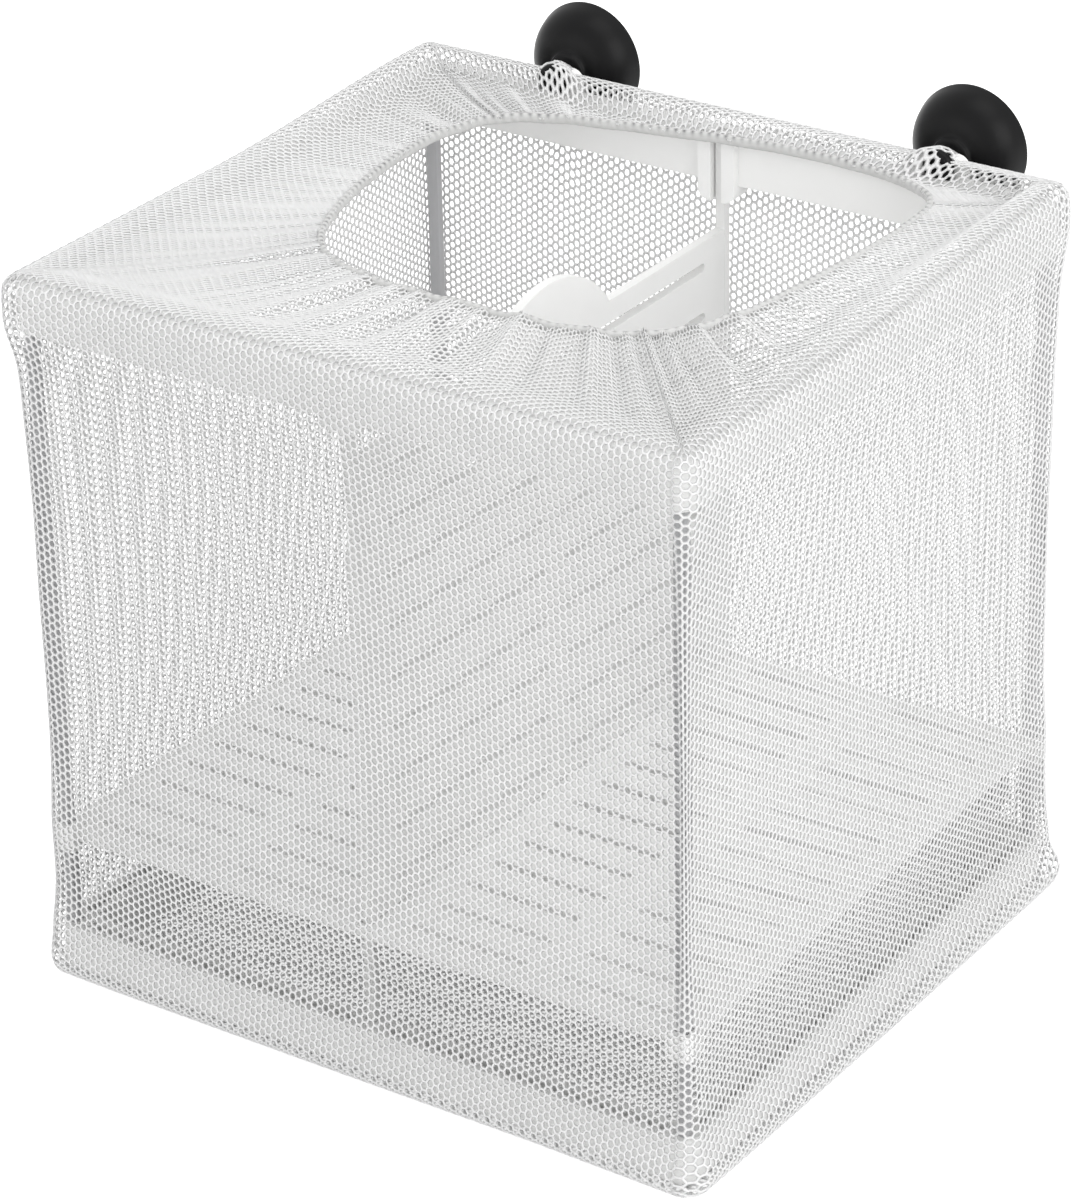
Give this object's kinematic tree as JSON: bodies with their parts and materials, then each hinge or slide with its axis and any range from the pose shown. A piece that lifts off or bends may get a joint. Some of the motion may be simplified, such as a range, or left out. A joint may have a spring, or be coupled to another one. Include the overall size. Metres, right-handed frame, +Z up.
{
  "type": "fish breeding box",
  "caption": "Net breeding box for an aquarium: a fine mesh bag on a white moulded frame with an elastic mouth, a slotted divider, a slotted floor and black suction cups.",
  "frame": {"origin": "middle of the underside of the bottom net, the face that the box stands on", "axes": "+X to the right seen from the front, +Y towards the aquarium glass that the suction cups hold, +Z up through the mouth"},
  "size_m": [0.1688, 0.1641, 0.1853],
  "materials": {
    "white_plastic": "satin",
    "grey_plastic": "satin",
    "black_rubber": "matte",
    "white_mesh": "open hexagonal mesh",
    "white_hem": "gathered elastic hem"
  },
  "bodies": {
    "frame": {"top_ring": "white_plastic", "bottom_ring": "white_plastic", "post_front_left": "grey_plastic", "post_front_right": "grey_plastic", "post_rear_left": "grey_plastic", "post_rear_right": "grey_plastic", "net_front": "white_mesh", "net_rear": "white_mesh", "net_left": "white_mesh", "net_right": "white_mesh", "net_bottom": "white_mesh", "net_top_cover": "white_mesh", "elastic_hem": "white_hem"},
    "floor": {"floor_grid": "white_plastic"},
    "divider": {"divider_panel": "white_plastic"},
    "cup_top_left": {"suction_cup_top_left": "black_rubber"},
    "cup_top_right": {"suction_cup_top_right": "black_rubber"},
    "cup_bottom_left": {"suction_cup_bottom_left": "black_rubber"},
    "cup_bottom_right": {"suction_cup_bottom_right": "black_rubber"}
  },
  "joints": [
    {"name": "divider_lift", "type": "slide", "parent": "frame", "child": "divider", "axis": [0, 0, 1], "range_m": [0, 0.172], "deforming": ["net_top_cover", "elastic_hem"]},
    {"name": "floor_slide", "type": "slide", "parent": "frame", "child": "floor", "axis": [0, 0, 1], "range_m": [-0.0145, 0]},
    {"name": "cup_top_left_spin", "type": "hinge", "parent": "frame", "child": "cup_top_left", "pos_m": [-0.046, 0.0872, 0.1713], "axis": [0, 1, 0], "continuous": true},
    {"name": "cup_top_right_spin", "type": "hinge", "parent": "frame", "child": "cup_top_right", "pos_m": [0.054, 0.0872, 0.1713], "axis": [0, 1, 0], "continuous": true},
    {"name": "cup_bottom_left_spin", "type": "hinge", "parent": "frame", "child": "cup_bottom_left", "pos_m": [-0.046, 0.0872, 0.0152], "axis": [0, 1, 0], "continuous": true},
    {"name": "cup_bottom_right_spin", "type": "hinge", "parent": "frame", "child": "cup_bottom_right", "pos_m": [0.054, 0.0872, 0.0152], "axis": [0, 1, 0], "continuous": true}
  ]
}
